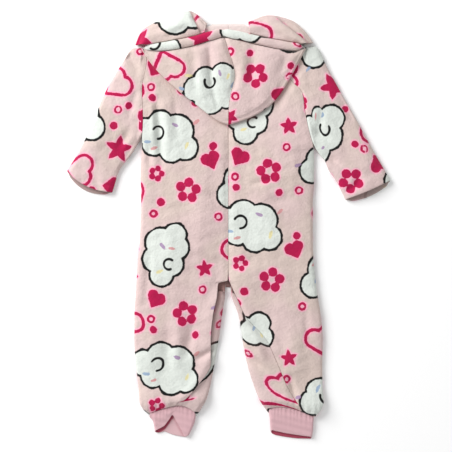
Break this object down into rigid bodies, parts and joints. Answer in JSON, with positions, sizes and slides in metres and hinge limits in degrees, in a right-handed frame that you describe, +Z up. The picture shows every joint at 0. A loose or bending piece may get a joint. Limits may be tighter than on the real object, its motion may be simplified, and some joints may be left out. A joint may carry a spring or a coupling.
{
  "type": "hooded onesie pajama",
  "caption": "Toddler's hooded fleece onesie lying flat on its front: long sleeves, legs with stretch ankle cuffs, hood folded down on the back, front zip underneath.",
  "frame": {"origin": "centre of the footprint of the garment laid flat, on the surface it lies on", "axes": "+X to the wearer's right, +Y from the ankles to the hood, +Z up from the surface towards the garment's back"},
  "size_m": [0.6168, 0.816, 0.0207],
  "materials": {
    "fleece": "pale pink plush coral fleece with a white, magenta and pastel print",
    "cuff_jersey": "smooth rose pink stretch jersey",
    "zip_tape": "pale pink woven zip tape with a closed nylon coil",
    "zip_slider": "pale pink painted slider"
  },
  "bodies": {
    "root": {"back_left": "fleece", "front_left": "fleece", "sleeve_left": "fleece", "hood_left": "fleece", "hood_front_left": "fleece", "cuff_left": "cuff_jersey", "back_right": "fleece", "front_right": "fleece", "sleeve_right": "fleece", "hood_right": "fleece", "hood_front_right": "fleece", "cuff_right": "cuff_jersey", "hood_hem": "fleece", "zip": "zip_tape", "zip_slider": "zip_slider"}
  },
  "joints": []
}
